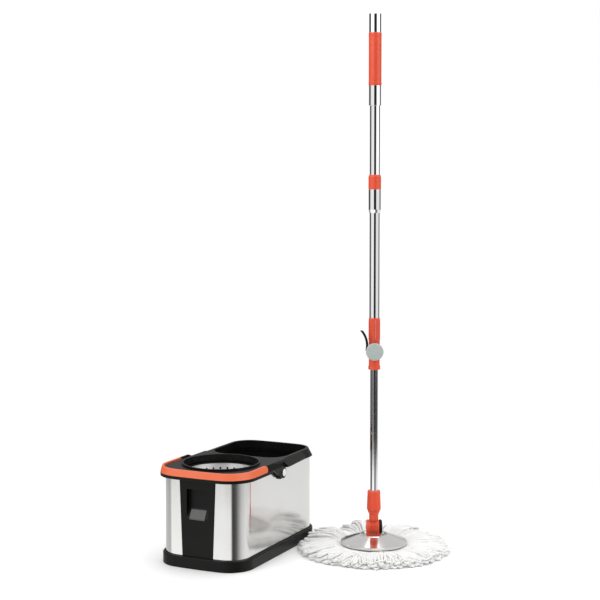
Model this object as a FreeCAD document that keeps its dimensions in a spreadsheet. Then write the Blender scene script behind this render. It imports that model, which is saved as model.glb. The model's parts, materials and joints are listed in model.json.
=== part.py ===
import FreeCAD, Part
import math
import os
import Sketcher

# Spin mop and wringing bucket, as a parametric assembly of separate pieces.
# Millimetres, +Z up. The origin is the centre of the bucket's base, on the floor:
# X runs across the bucket, -Y is its front face with the grip niche. The mop stands
# beside the bucket, turned about Z by mop_yaw; mop pieces are drawn about their own
# axis first and placed last.

Vec = FreeCAD.Vector
X_AXIS = Vec(1, 0, 0)
Y_AXIS = Vec(0, 1, 0)
Z_AXIS = Vec(0, 0, 1)
ORIGIN = Vec(0, 0, 0)

SIZES = {
    # bucket plan
    "half_wide": 109.0,        # centre to the outside of the steel skin, across
    "half_long": 207.5,        # centre to the outside of the steel skin, along
    "corner_rad": 54.0,        # plan radius of the skin's corners
    "bow_rad": 900.0,          # the gentle bow of the front and back faces
    "skin_thick": 0.8,
    "tub_wall": 2.5,
    "tub_floor": 3.0,
    "part_gap": 0.3,           # clearance between neighbouring pieces
    # heights on the bucket
    "tray_floor": 4.2,
    "tray_height": 26.0,
    "tray_proud": 6.5,
    "tray_lean": 1.2,
    "rim_low": 205.0,
    "lip_top": 212.0,
    "deck_top": 224.0,
    "ring_top": 229.0,
    "lip_proud": 12.0,
    "core_proud": 1.2,
    "rear_proud": 6.0,
    "rear_inset": 4.0,
    "flare_run": 130.0,
    "deck_skin": 3.0,
    "core_wall": 8.0,
    "spigot_low": 198.5,
    # openings in the deck
    "basket_y": -95.0,
    "mouth_rad": 88.5,
    "mouth_wall": 4.0,
    "mouth_low": 212.0,
    "well_half": 98.0,
    "well_front": 14.0,
    "well_back": 198.0,
    "well_corner": 46.0,
    # bail handle
    "pivot_y": -6.0,
    "pivot_z": 197.0,
    "boss_rad": 14.0,
    "bail_inner": 3.2,
    "bail_low": 212.3,
    "bail_top": 227.5,
    "bail_draft": 4.0,
    "arm_inner": 4.2,
    "arm_reach": 50.0,
    "arm_top_reach": 45.0,
    "grip_end": 92.6,
    "tang_inner": 5.0,
    "tang_outer": 7.0,
    "tang_low": 215.5,
    "tang_top": 224.5,
    "pin_rad": 5.0,
    "run_gap": 0.05,
    "cap_rad": 9.0,
    "cap_thick": 1.8,
    "lug_half": 17.0,
    "fairing_low": 20.0,
    "fairing_high": 29.5,
    # front panel
    "panel_top_half": 47.0,
    "panel_low_half": 40.0,
    "panel_proud": 1.0,
    "niche_half": 28.0,
    "niche_top": 184.0,
    "niche_low": 139.0,
    "niche_foot": 117.0,
    "niche_deep": 12.0,
    "niche_wall": 2.4,
    "badge_half": 20.0,
    "badge_thick": 1.4,
    # spinning basket
    "basket_rad": 86.5,
    "basket_top": 211.0,
    "basket_flange": 6.0,
    "basket_skirt": 190.0,
    "basket_wall": 2.0,
    "bowl_rad": 84.0,
    "bowl_waist": 79.0,
    "bowl_waist_z": 176.0,
    "bowl_foot": 62.0,
    "bowl_low": 160.0,
    "bowl_thick": 0.8,
    "bowl_hole": 22.0,
    "drain_rad": 2.6,
    "cone_top": 192.0,
    "cone_rad": 27.0,
    "post_foot": 34.0,
    "post_rad": 13.0,
    "post_top": 150.0,
    "axle_rad": 4.0,
    "axle_low": 90.0,
    "axle_top": 184.0,
    # mop place
    "mop_x": 297.0,
    "mop_y": 128.0,
    "mop_yaw": 25.8,
    # mop head
    "fibre_rad": 177.0,
    "fibre_top": 26.0,
    "fibre_hole": 38.0,
    "refill_rad": 59.5,
    "refill_low": 10.3,
    "refill_top": 16.4,
    "plate_rad": 79.0,
    "plate_low": 17.0,
    "plate_top": 20.2,
    "dish_rad": 80.0,
    "dish_edge_z": 22.0,
    "dish_crown": 39.0,
    "dish_seat": 33.0,
    "dish_ring": 33.0,
    "dish_thick": 0.8,
    "hub_rad": 17.5,
    "screw_ring": 12.0,
    "hub_top": 36.5,
    "tilt_z": 55.0,
    "ear_rad": 17.5,
    "ear_out_left": 18.0,
    "ear_out_right": 13.0,
    "tongue_left": 9.0,
    "tongue_right": 7.5,
    "joint_gap": 0.5,
    "tilt_pin_rad": 4.0,
    "knob_rad": 17.8,
    "knob_out": 20.0,
    # swivel sleeve and tubes
    "neck_low": 73.6,
    "neck_rad": 11.4,
    "neck_top": 86.0,
    "ear_block": 12.0,
    "tongue_half": 9.0,
    "sleeve_groove": 97.0,
    "sleeve_low_rad": 17.0,
    "sleeve_top": 144.0,
    "sleeve_rad": 15.5,
    "inner_low": 100.3,
    "inner_top": 556.0,
    "inner_rad": 9.5,
    "inner_wall": 0.8,
    "rivet_z": 122.0,
    "rivet_rad": 2.0,
    "slip_gap": 0.15,
    "outer_low": 445.0,
    "outer_top": 828.0,
    "outer_rad": 12.0,
    "outer_wall": 0.9,
    "collar_low": 438.0,
    "collar_lip": 440.5,
    "collar_flange": 446.5,
    "collar_step": 497.0,
    "collar_top": 562.0,
    "collar_flange_rad": 14.3,
    "collar_low_rad": 13.1,
    "collar_rad": 13.3,
    "slit_half": 0.7,
    "slit_turn": -76.0,
    "bush_top": 475.0,
    "lock_z": 482.0,
    "lock_boss_rad": 15.5,
    "lock_boss_out": 14.4,
    "lever_in": 14.9,
    "lever_out": 18.2,
    "lever_rad": 16.5,
    "tail_x": 73.0,
    "tail_rad": 58.0,
    "tail_rise": 14.0,
    "tail_high": 51.0,
    "tail_thick": 4.3,
    "lock_cap_in": 18.6,
    "lock_cap_out": 22.2,
    "lock_cap_rad": 21.0,
    "lock_face_rad": 18.4,
    "lock_pin_rad": 3.0,
    "nut_low": 536.0,
    "nut_head": 562.0,
    "nut_head_rad": 10.7,
    "rod_low": 512.0,
    "rod_top": 827.0,
    "rod_pitch": 80.0,
    "rod_wide": 8.0,
    "rod_thick": 3.0,
    "anchor_low": 812.0,
    "anchor_top": 828.0,
    "anchor_z": 820.5,
    "socket_low": 813.0,
    "socket_neck": 821.0,
    "socket_top": 869.0,
    "socket_rad": 14.5,
    "coupling_top": 904.0,
    "coupling_rad": 15.0,
    "middle_top": 1108.0,
    "insert_top": 930.0,
    "insert_bore": 6.0,
    "handle_low": 1068.0,
    "handle_top": 1283.0,
    "handle_rad": 14.3,
    "grip_low": 1115.0,
    "grip_top": 1240.0,
    "grip_rad": 15.4,
    "plug_low": 1272.0,
    "plug_top": 1285.0,
}

HOLES_ROUND = 30               # drain holes in each ring of the basket bowl
SIDE_ROWS = (182.0, 189.0, 196.0)
FLOOR_ROWS = (34.0, 44.0, 54.0)

doc = FreeCAD.newDocument("spin_mop")
sheet = doc.addObject("Spreadsheet::Sheet", "dims")


class Dim:
    """A size that carries its value and the sheet formula that it comes from."""

    def __init__(self, value, text):
        self.value = float(value)
        self.text = text

    def __add__(self, other):
        other = as_dim(other)
        return Dim(self.value + other.value, "(%s + %s)" % (self.text, other.text))

    def __sub__(self, other):
        other = as_dim(other)
        return Dim(self.value - other.value, "(%s - %s)" % (self.text, other.text))

    def __mul__(self, factor):
        return Dim(self.value * factor, "(%s * %s)" % (self.text, factor))

    def __neg__(self):
        return Dim(-self.value, "(0 - %s)" % self.text)


class Sizes:
    """Every size in the sheet, by name."""


def as_dim(size):
    if isinstance(size, Dim):
        return size
    return Dim(size, "(%s)" % float(size))


def fill_sheet():
    """Write the driving sizes to the sheet and hand them back by name."""
    sizes = Sizes()
    for row, (alias, value) in enumerate(SIZES.items(), start=1):
        sheet.set("A%d" % row, alias)
        sheet.set("B%d" % row, str(value))
        sheet.setAlias("B%d" % row, alias)
        setattr(sizes, alias, Dim(value, "dims." + alias))
    doc.recompute()
    return sizes


d = fill_sheet()
nodes = []


# ---------------------------------------------------------------- drawing helpers

def bind(thing, prop, size):
    """Tie a property to the sheet, or set it when it is a plain number."""
    if isinstance(size, Dim):
        thing.setExpression(prop, size.text)
    else:
        thing.setExpression(prop, str(float(size)))


def put(thing, x=0, y=0, z=0):
    """Place an object's origin."""
    thing.Placement.Base = Vec(as_dim(x).value, as_dim(y).value, as_dim(z).value)
    for axis, size in (("x", x), ("y", y), ("z", z)):
        bind(thing, "Placement.Base." + axis, size)
    return thing


def node(thing, name):
    """Name a finished piece, which is written to parts/NAME.step."""
    thing.Label = name
    nodes.append(thing)
    return thing


def mop_node(thing, name):
    """Name a finished piece of the mop and stand it beside the bucket."""
    turn = FreeCAD.Rotation(Z_AXIS, d.mop_yaw.value)
    thing.Placement = FreeCAD.Placement(Vec(d.mop_x.value, d.mop_y.value, 0), turn)
    bind(thing, "Placement.Base.x", d.mop_x)
    bind(thing, "Placement.Base.y", d.mop_y)
    bind(thing, "Placement.Rotation.Angle", d.mop_yaw)
    return node(thing, name)


def box(name, x0, x1, y0, y1, z0, z1):
    """A block between two corners."""
    block = doc.addObject("Part::Box", name)
    bind(block, "Length", as_dim(x1) - x0)
    bind(block, "Width", as_dim(y1) - y0)
    bind(block, "Height", as_dim(z1) - z0)
    return put(block, x0, y0, z0)


def rod(name, radius, start, length, x=0, y=0, z=0, axis="Z"):
    """A round bar from start, running along +axis."""
    bar = doc.addObject("Part::Cylinder", name)
    bind(bar, "Radius", radius)
    bind(bar, "Height", length)
    turn = {"X": (Y_AXIS, 90), "Y": (X_AXIS, -90), "Z": (Z_AXIS, 0)}[axis]
    bar.Placement.Rotation = FreeCAD.Rotation(*turn)
    place = {"X": (start, y, z), "Y": (x, start, z), "Z": (x, y, start)}[axis]
    return put(bar, *place)


def fuse(name, *pieces):
    union = doc.addObject("Part::MultiFuse", name)
    union.Shapes = list(pieces)
    return union


def cut(name, base, *tools):
    tool = tools[0]
    if len(tools) > 1:
        tool = fuse(name + "_tools", *tools)
    rest = doc.addObject("Part::Cut", name)
    rest.Base = base
    rest.Tool = tool
    return rest


def common(name, first, second):
    both = doc.addObject("Part::Common", name)
    both.Base = first
    both.Tool = second
    return both


def new_sketch(body, name, plane):
    """A sketch on one of a body's own origin planes."""
    sketch = body.newObject("Sketcher::SketchObject", name)
    for feature in body.Origin.OriginFeatures:
        if feature.Role == plane:
            sketch.AttachmentSupport = [(feature, "")]
    sketch.MapMode = "FlatFace"
    return sketch


def pin_point(sketch, line, end, x, y):
    """Fix one end of a sketch line from the origin, by formula."""
    for kind, size in (("DistanceX", x), ("DistanceY", y)):
        index = sketch.addConstraint(Sketcher.Constraint(kind, -1, 1, line, end, as_dim(size).value))
        bind(sketch, "Constraints[%d]" % index, as_dim(size))


def outline(sketch, points):
    """A closed run of straight lines through points of two sizes each."""
    spots = [Vec(as_dim(x).value, as_dim(y).value, 0) for x, y in points]
    for index in range(len(spots)):
        sketch.addGeometry(Part.LineSegment(spots[index], spots[(index + 1) % len(spots)]))
    for index in range(len(spots)):
        following = (index + 1) % len(spots)
        sketch.addConstraint(Sketcher.Constraint("Coincident", index, 2, following, 1))
    for index, (x, y) in enumerate(points):
        pin_point(sketch, index, 1, x, y)


def turned(name, points):
    """A turned piece: a closed outline of (radius, height) pairs about Z."""
    body = doc.addObject("PartDesign::Body", name)
    sketch = new_sketch(body, name + "_outline", "XZ_Plane")
    outline(sketch, points)
    turn = body.newObject("PartDesign::Revolution", name + "_turn")
    turn.Profile = sketch
    turn.ReferenceAxis = (sketch, ["V_Axis"])
    turn.Angle = 360
    body.Tip = turn
    return body


def profiled(name, plane, points, depth, start=0):
    """A piece of one side profile: lines on a plane, padded from start along its normal."""
    body = doc.addObject("PartDesign::Body", name)
    sketch = new_sketch(body, name + "_profile", plane)
    outline(sketch, points)
    sketch.AttachmentOffset = FreeCAD.Placement(Vec(0, 0, as_dim(start).value), FreeCAD.Rotation())
    bind(sketch, "AttachmentOffset.Base.z", start)
    pad = body.newObject("PartDesign::Pad", name + "_pad")
    pad.Profile = sketch
    bind(pad, "Length", depth)
    body.Tip = pad
    return body


def plan_loop(sketch, proud):
    """The bucket's plan: straight sides, round corners and bowed ends, grown by proud."""
    proud = as_dim(proud)
    wide = d.half_wide + proud
    corner = d.corner_rad + proud
    bow = d.bow_rad + proud
    bow_y = d.half_long - d.bow_rad
    reach = bow.value - corner.value
    corner_x = wide.value - corner.value
    corner_y = bow_y.value + math.sqrt(reach ** 2 - corner_x ** 2)
    lean = math.asin(corner_x / reach)

    def arc(x, y, radius, low, high):
        circle = Part.Circle(Vec(x, y, 0), Z_AXIS, radius)
        return sketch.addGeometry(Part.ArcOfCircle(circle, low, high))

    quarter = math.pi / 2
    side_a = sketch.addGeometry(Part.LineSegment(Vec(wide.value, -corner_y, 0),
                                                 Vec(wide.value, corner_y, 0)))
    corner_a = arc(corner_x, corner_y, corner.value, 0, quarter - lean)
    back = arc(0, bow_y.value, bow.value, quarter - lean, quarter + lean)
    corner_b = arc(-corner_x, corner_y, corner.value, quarter + lean, 2 * quarter)
    side_b = sketch.addGeometry(Part.LineSegment(Vec(-wide.value, corner_y, 0),
                                                 Vec(-wide.value, -corner_y, 0)))
    corner_c = arc(-corner_x, -corner_y, corner.value, 2 * quarter, 3 * quarter - lean)
    front = arc(0, -bow_y.value, bow.value, 3 * quarter - lean, 3 * quarter + lean)
    corner_d = arc(corner_x, -corner_y, corner.value, 3 * quarter + lean, 4 * quarter)
    loop = [side_a, corner_a, back, corner_b, side_b, corner_c, front, corner_d]
    for index, piece in enumerate(loop):
        following = loop[(index + 1) % len(loop)]
        sketch.addConstraint(Sketcher.Constraint("Tangent", piece, 2, following, 1))
    for piece in (corner_b, corner_c, corner_d):
        sketch.addConstraint(Sketcher.Constraint("Equal", corner_a, piece))
    sketch.addConstraint(Sketcher.Constraint("Equal", back, front))
    sized = [("Radius", corner_a, corner), ("Radius", back, bow)]
    for kind, piece, size in sized:
        index = sketch.addConstraint(Sketcher.Constraint(kind, piece, size.value))
        bind(sketch, "Constraints[%d]" % index, size)
    spots = [("DistanceX", side_a, 1, wide), ("DistanceX", side_b, 1, -wide)]
    spots += [("DistanceY", back, 3, bow_y), ("DistanceY", front, 3, -bow_y)]
    for kind, piece, end, size in spots:
        index = sketch.addConstraint(Sketcher.Constraint(kind, -1, 1, piece, end, size.value))
        bind(sketch, "Constraints[%d]" % index, size)
    for piece in (back, front):
        sketch.addConstraint(Sketcher.Constraint("PointOnObject", piece, 3, -2))
    for piece in (side_a, side_b):
        sketch.addConstraint(Sketcher.Constraint("Vertical", piece))


def loop_sketch(body, name, proud, height):
    sketch = new_sketch(body, name, "XY_Plane")
    plan_loop(sketch, proud)
    sketch.AttachmentOffset = FreeCAD.Placement(Vec(0, 0, as_dim(height).value), FreeCAD.Rotation())
    bind(sketch, "AttachmentOffset.Base.z", height)
    return sketch


def slab(name, proud, low, high):
    """A block of the bucket's plan, grown by proud, between two heights."""
    body = doc.addObject("PartDesign::Body", name)
    sketch = loop_sketch(body, name + "_plan", proud, low)
    pad = body.newObject("PartDesign::Pad", name + "_pad")
    pad.Profile = sketch
    bind(pad, "Length", as_dim(high) - low)
    body.Tip = pad
    return body


def leaning(name, proud_low, low, proud_high, high):
    """A block whose sides lean from one plan to another."""
    body = doc.addObject("PartDesign::Body", name)
    bottom = loop_sketch(body, name + "_low", proud_low, low)
    top = loop_sketch(body, name + "_high", proud_high, high)
    loft = body.newObject("PartDesign::AdditiveLoft", name + "_loft")
    loft.Profile = bottom
    loft.Sections = [top]
    loft.Ruled = True
    body.Tip = loft
    return body


def round_block(name, half, front, back, radius, low, high):
    """A rounded rectangle in plan, between two heights, out of blocks and bars."""
    side = half - radius
    parts = [box(name + "_across", -half, half, front + radius, back - radius, low, high)]
    parts.append(box(name + "_along", -side, side, front, back, low, high))
    for index, (x, y) in enumerate(((side, front + radius), (-side, front + radius),
                                    (side, back - radius), (-side, back - radius))):
        parts.append(rod("%s_corner_%d" % (name, index), radius, low, as_dim(high) - low, x=x, y=y))
    return fuse(name, *parts)


FAR = 400.0                    # past every piece, for half-space blocks


# ---------------------------------------------------------------- bucket, fixed pieces

def make_base_tray():
    outer = slab("tray_block", d.tray_proud, 0, d.tray_height - d.tray_lean * 2)
    lean = leaning("tray_shoulder", d.tray_proud, d.tray_height - d.tray_lean * 2,
                   d.tray_proud - d.tray_lean, d.tray_height)
    hollow = slab("tray_hollow", d.panel_proud + d.part_gap, d.tray_floor, d.tray_height + 1)
    node(cut("tray_cut", fuse("tray_whole", outer, lean), hollow), "base_tray")


def make_inner_tub():
    floor_low = d.tray_floor + d.part_gap
    outside = -(d.skin_thick + d.part_gap)
    inside = outside - d.tub_wall
    outer = slab("tub_block", outside, floor_low, d.rim_low - d.part_gap)
    hollow = slab("tub_hollow", inside, floor_low + d.tub_floor, d.rim_low + 1)
    deep = d.niche_deep + d.niche_wall + d.part_gap
    half = d.niche_half + d.niche_wall + d.part_gap
    low = d.niche_foot - d.niche_wall - d.part_gap
    high = d.niche_top + d.niche_wall + d.part_gap
    notch = box("tub_notch", -half, half, -FAR, deep - d.half_long, low, high)
    wall = d.tub_wall
    shelf = box("tub_shelf", -(half + wall), half + wall, -FAR, deep - d.half_long + wall, low - wall,
                high + wall)
    node(cut("tub_cut", outer, cut("tub_room", hollow, shelf), notch), "inner_tub")


def panel_outline(grow):
    """The front panel's tapered face, as seen from the front."""
    slope = (d.panel_top_half.value - d.panel_low_half.value) / (d.rim_low.value - d.tray_height.value)
    low = d.tray_floor + d.part_gap
    high = d.rim_low - d.part_gap
    drop = (d.tray_height - low) * slope
    return [(d.panel_low_half + grow - drop, low), (d.panel_top_half + grow, high),
            (-(d.panel_top_half + grow), high), (-(d.panel_low_half + grow - drop), low)]


def make_steel_skin():
    low = d.tray_floor + d.part_gap
    outer = slab("skin_block", 0, low, d.rim_low - d.part_gap)
    hollow = slab("skin_hollow", -d.skin_thick, low - 1, d.rim_low)
    window = profiled("skin_window", "XZ_Plane", panel_outline(d.part_gap), FAR, start=d.half_long * 0.5)
    node(cut("skin_cut", outer, hollow, window), "steel_skin")


def make_front_panel():
    low = d.tray_floor + d.part_gap
    high = d.rim_low - d.part_gap
    skin = cut("panel_skin", slab("panel_block", d.panel_proud, low, high),
               slab("panel_hollow", -d.skin_thick, low - 1, high + 1))
    face = common("panel_face", skin,
                  profiled("panel_window", "XZ_Plane", panel_outline(0), FAR, start=d.half_long * 0.5))
    wall = d.niche_wall
    half = d.niche_half + wall
    back = d.niche_deep + wall - d.half_long
    backing = common("niche_back", slab("niche_slab", d.panel_proud, d.niche_foot - wall,
                                        d.niche_top + wall),
                     box("niche_box", -half, half, -FAR, back, 0, FAR))
    deep = d.niche_deep - d.half_long
    niche = profiled("niche_room", "YZ_Plane",
                     [(-FAR, d.niche_foot - 6), (-d.half_long - 4, d.niche_foot - 6), (deep, d.niche_low),
                      (deep, d.niche_top), (-FAR, d.niche_top)],
                     d.niche_half * 2, start=-d.niche_half)
    node(cut("panel_cut", fuse("panel_whole", face, backing), niche), "front_panel")


def make_badge_plate():
    """A plain plate that lies on the niche's sloping foot."""
    rise = d.niche_low.value - d.niche_foot.value + 6
    run = d.niche_deep.value + 4
    up = d.badge_thick.value * math.hypot(rise, run) / run
    gap = 0.1

    def foot(share):
        return d.niche_foot + (rise * share - 6)

    def depth(share):
        return -d.half_long + (run * share - 4)

    near, far = 0.10, 0.80
    points = [(depth(near), foot(near) + gap), (depth(far), foot(far) + gap),
              (depth(far), foot(far) + up), (depth(near), foot(near) + up)]
    node(profiled("badge_slab", "YZ_Plane", points, d.badge_half * 2, start=-d.badge_half), "badge_plate")


def make_top_deck():
    core = slab("deck_core", d.core_proud, d.rim_low, d.deck_top)
    lip = slab("deck_lip", d.lip_proud, d.rim_low, d.lip_top)
    y = d.pivot_y
    rim = leaning("rear_rim", d.rear_proud, d.rim_low, -d.rear_inset, d.deck_top)
    flare = leaning("rear_flare", d.lip_proud, d.rim_low, -d.rear_inset, d.deck_top)
    zones = []
    for side, name in ((1, "flare_a"), (-1, "flare_b")):
        inside = (d.half_wide - 12) * side
        wide = (d.half_wide + d.lip_proud + 1) * side
        narrow = (d.half_wide + d.rear_proud) * side
        zones.append(profiled(name, "XY_Plane",
                              [(inside, y), (wide, y), (wide, y + d.fairing_low),
                               (narrow, y + d.flare_run),
                               (inside, y + d.flare_run)],
                              d.deck_top - d.rim_low + 2, start=d.rim_low - 1))
    flared = common("rear_flared", flare, fuse("flare_zones", *zones))
    behind = profiled("rear_side", "YZ_Plane",
                      [(y + d.fairing_low, d.rim_low - 1), (FAR, d.rim_low - 1), (FAR, d.deck_top + 1),
                       (y + d.fairing_high, d.deck_top + 1)], FAR * 2, start=-FAR)
    raised = rod("mouth_ring", d.mouth_rad + d.mouth_wall, d.mouth_low, d.ring_top - d.mouth_low,
                 y=d.basket_y)
    inner = d.core_proud - d.core_wall
    hollow = slab("deck_hollow", inner, d.rim_low - 1, d.deck_top - d.deck_skin)
    keep_ring = rod("ring_keep", d.mouth_rad + d.mouth_wall, d.rim_low - 2, d.deck_top, y=d.basket_y)
    skin = d.deck_skin
    keep_well = round_block("well_keep", d.well_half + skin, d.well_front - skin, d.well_back + skin,
                            d.well_corner + skin, d.rim_low - 2, d.deck_top)
    room = cut("deck_room", hollow, keep_ring, keep_well)
    spigot = cut("deck_spigot", slab("spigot_block", inner + 1.9, d.spigot_low, d.rim_low + 1),
                 slab("spigot_hollow", inner, d.spigot_low - 1, d.rim_low + 2))
    lugs = []
    for side, name in ((1, "lug_a"), (-1, "lug_b")):
        low_x = d.half_wide + d.part_gap
        high_x = d.half_wide + d.arm_inner - d.part_gap
        if side < 0:
            low_x, high_x = -high_x, -low_x
        lugs.append(box(name + "_block", low_x, high_x, y - d.lug_half, y + d.lug_half, d.pivot_z,
                        d.rim_low + 2))
        lugs.append(rod(name + "_end", d.lug_half, low_x, high_x - low_x, y=y, z=d.pivot_z, axis="X"))
    front = cut("deck_front", fuse("deck_front_whole", core, lip), behind)
    rear = common("deck_rear", fuse("deck_rear_whole", rim, flared), behind)
    outside = fuse("deck_outside", front, rear, raised, spigot, *lugs)
    mouth = rod("mouth", d.mouth_rad, 0, FAR, y=d.basket_y)
    under = rod("mouth_under", d.mouth_rad + d.mouth_wall + 6, d.rim_low - 1, d.mouth_low - d.rim_low + 1,
                y=d.basket_y)
    well = round_block("well", d.well_half, d.well_front, d.well_back, d.well_corner, 0, FAR)
    front_y = y - d.arm_reach - 6
    slots = []
    for side, name in ((1, "slot_a"), (-1, "slot_b")):
        low_x = d.half_wide + d.arm_inner - d.part_gap
        span = (low_x, FAR) if side > 0 else (-FAR, -low_x)
        slots.append(box(name, span[0], span[1], front_y, y + d.fairing_low + 1, 100, d.deck_top + 1))
        bore = low_x - 6 if side > 0 else -low_x - 6
        slots.append(rod(name + "_bore", d.pin_rad, bore, 12, y=y, z=d.pivot_z, axis="X"))
    node(cut("deck_cut", outside, room, mouth, under, well, *slots), "top_deck")


def make_pivots():
    """Two pins in the deck's lugs, each with a bright cap outside the bail's boss."""
    pins = []
    caps = []
    inner = d.half_wide + d.part_gap + 0.4
    outer = d.half_wide + d.lip_proud + 0.3
    for side, name in ((1, "pin_a"), (-1, "pin_b")):
        start = inner if side > 0 else -outer
        pins.append(rod(name, d.pin_rad, start, outer - inner, y=d.pivot_y, z=d.pivot_z, axis="X"))
        start = outer if side > 0 else -(outer + d.cap_thick)
        caps.append(rod(name + "_cap", d.cap_rad, start, d.cap_thick, y=d.pivot_y, z=d.pivot_z, axis="X"))
    node(fuse("pins_pair", *pins), "bail_pins")
    node(fuse("caps_pair", *caps), "bail_pin_caps")


def make_basket_post():
    """A hollow post on the tub floor that carries the basket's axle."""
    low = d.tray_floor + d.part_gap + d.tub_floor + 0.1
    bore = d.axle_rad
    post = turned("post_turned", [
        (0, low), (d.post_foot, low), (d.post_foot, low + 4), (d.post_rad + 5, low + 12),
        (d.post_rad, low + 60), (d.post_rad, d.post_top - 3), (d.post_rad - 3, d.post_top),
        (bore, d.post_top), (bore, d.axle_low), (0, d.axle_low)])
    node(put(post, y=d.basket_y), "basket_post")
    node(put(rod("axle_bar", d.axle_rad, 0, d.axle_top - d.axle_low - 0.2), y=d.basket_y,
             z=d.axle_low + 0.2),
         "basket_axle")


# ---------------------------------------------------------------- bail handle

def make_bail():
    """The carrying handle, folded forward round the rim: a black frame and an orange grip."""
    y = d.pivot_y
    band = cut("bail_band", leaning("bail_outer", d.lip_proud, d.bail_low, d.lip_proud - d.bail_draft,
                                    d.bail_top),
               slab("bail_inner_plan", d.bail_inner, d.bail_low - 1, d.bail_top + 1))
    half_tall = (d.bail_top - d.bail_low) * 0.5
    middle = d.bail_low + half_tall
    grip_front = box("grip_front", -FAR, FAR, -FAR, -d.grip_end, 100, 300)
    grip_nose = rod("grip_nose", half_tall, -FAR, FAR * 2, y=-d.grip_end, z=middle, axis="X")
    grip_zone = fuse("grip_zone", grip_front, grip_nose)
    groove = cut("tang_groove", slab("groove_outer", d.tang_outer + 0.1, d.tang_low - 0.1,
                                     d.tang_top + 0.1),
                 slab("groove_inner", d.tang_inner - 0.1, d.tang_low - 1, d.tang_top + 1))
    grip = common("grip_body", band, grip_zone)
    node(cut("grip_cut", grip, groove), "bail_grip")

    tang_ring = cut("tang_ring", slab("tang_outer_plan", d.tang_outer, d.tang_low, d.tang_top),
                    slab("tang_inner_plan", d.tang_inner, d.tang_low - 1, d.tang_top + 1))
    tang = common("tang", tang_ring, box("tang_zone", -FAR, FAR, -FAR, -d.grip_end + 10, 100, 300))
    nose_gap = fuse("nose_gap", box("gap_front", -FAR, FAR, -FAR, -d.grip_end, 100, 300),
                    rod("gap_nose", half_tall + 0.1, -FAR, FAR * 2, y=-d.grip_end, z=middle, axis="X"))
    cheek_zone = box("cheek_zone", -FAR, FAR, -FAR, y - d.arm_reach, 100, 300)
    cheeks = cut("cheeks", common("cheek_band", band, cheek_zone), nose_gap)
    arms = []
    for side, name in ((1, "arm_a"), (-1, "arm_b")):
        inner = d.half_wide + d.arm_inner
        start = inner if side > 0 else -(d.half_wide + d.lip_proud)
        width = d.lip_proud - d.arm_inner
        arms.append(profiled(name, "YZ_Plane",
                             [(y - d.arm_reach - 2, d.bail_low),
                              (y - d.boss_rad * 0.7, d.pivot_z - d.boss_rad * 0.7),
                              (y, d.pivot_z), (y, d.pivot_z + d.boss_rad),
                              (y - d.arm_top_reach, d.bail_top), (y - d.arm_reach - 2, d.bail_top)],
                             width, start=start))
        arms.append(rod(name + "_boss", d.boss_rad, start, width, y=y, z=d.pivot_z, axis="X"))
    lean_cut = cut("lean_cut", box("lean_block", -FAR, FAR, -FAR, FAR, d.bail_low, 300),
                   leaning("lean_keep", d.lip_proud, d.bail_low - 1, d.lip_proud - d.bail_draft,
                           d.bail_top + 1))
    bore = rod("boss_bore", d.pin_rad + d.run_gap, -FAR, FAR * 2, y=y, z=d.pivot_z, axis="X")
    node(cut("bail_cut", fuse("bail_whole", cheeks, tang, *arms), lean_cut, bore), "bail_frame")


# ---------------------------------------------------------------- spinning basket

def drain_holes():
    """Radial holes through the bowl's wall and upright ones through its floor."""
    holes = []
    for row, height in enumerate(SIDE_ROWS):
        for step in range(HOLES_ROUND):
            angle = 2 * math.pi * (step + 0.5 * (row % 2)) / HOLES_ROUND
            way = Vec(math.cos(angle), math.sin(angle), 0)
            holes.append(Part.makeCylinder(d.drain_rad.value, 30, way * 65 + Vec(0, 0, height), way))
    for row, radius in enumerate(FLOOR_ROWS):
        count = 12 + 6 * row
        for step in range(count):
            angle = 2 * math.pi * step / count
            spot = Vec(radius * math.cos(angle), radius * math.sin(angle), 150)
            holes.append(Part.makeCylinder(d.drain_rad.value, 20, spot, Z_AXIS))
    punch = doc.addObject("Part::Feature", "drain_punch")
    punch.Shape = Part.makeCompound(holes)
    return punch


def make_basket():
    y = d.basket_y
    thick = d.bowl_thick
    bowl = turned("bowl_turned", [
        (d.bowl_hole, d.bowl_low), (d.bowl_foot, d.bowl_low), (d.bowl_waist, d.bowl_waist_z),
        (d.bowl_rad, d.basket_top - d.basket_wall - 1),
        (d.bowl_rad - thick, d.basket_top - d.basket_wall - 1),
        (d.bowl_waist - thick, d.bowl_waist_z + 0.4), (d.bowl_foot - 0.3, d.bowl_low + thick),
        (d.bowl_hole, d.bowl_low + thick)])
    node(put(cut("bowl_cut", bowl, drain_holes()), y=y), "basket_bowl")

    top = d.basket_top
    wall = d.basket_wall
    inner = d.basket_rad - d.basket_flange
    ring = turned("basket_ring_turned", [
        (inner, top - wall), (inner, top), (d.basket_rad, top), (d.basket_rad, d.basket_skirt),
        (d.basket_rad - wall, d.basket_skirt), (d.basket_rad - wall, top - wall)])
    node(put(ring, y=y), "basket_ring")

    bush_rad = d.axle_rad + 3
    low = d.bowl_low - 4
    cone = turned("cone_turned", [
        (bush_rad + 0.1, low), (d.bowl_hole - 0.2, low), (d.bowl_hole - 0.2, d.bowl_low + 0.9),
        (d.cone_rad, d.bowl_low + 0.9), (d.cone_rad, d.bowl_low + 4), (d.cone_rad - 8, d.bowl_low + 9),
        (d.cone_rad - 15, d.cone_top - 6), (d.cone_rad - 18, d.cone_top), (0, d.cone_top),
        (0, d.axle_top + 2), (bush_rad + 0.1, d.axle_top + 2)])
    node(put(cone, y=y), "basket_cone")

    bore = d.axle_rad + d.run_gap
    bush = turned("basket_bush_turned", [
        (bore, low - 2), (bush_rad + 4, low - 2), (bush_rad + 4, low - 0.1), (bush_rad, low - 0.1),
        (bush_rad, d.axle_top + 1.8), (bore, d.axle_top + 1.8)])
    node(put(bush, y=y), "basket_bearing")


# ---------------------------------------------------------------- mop head

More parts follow.
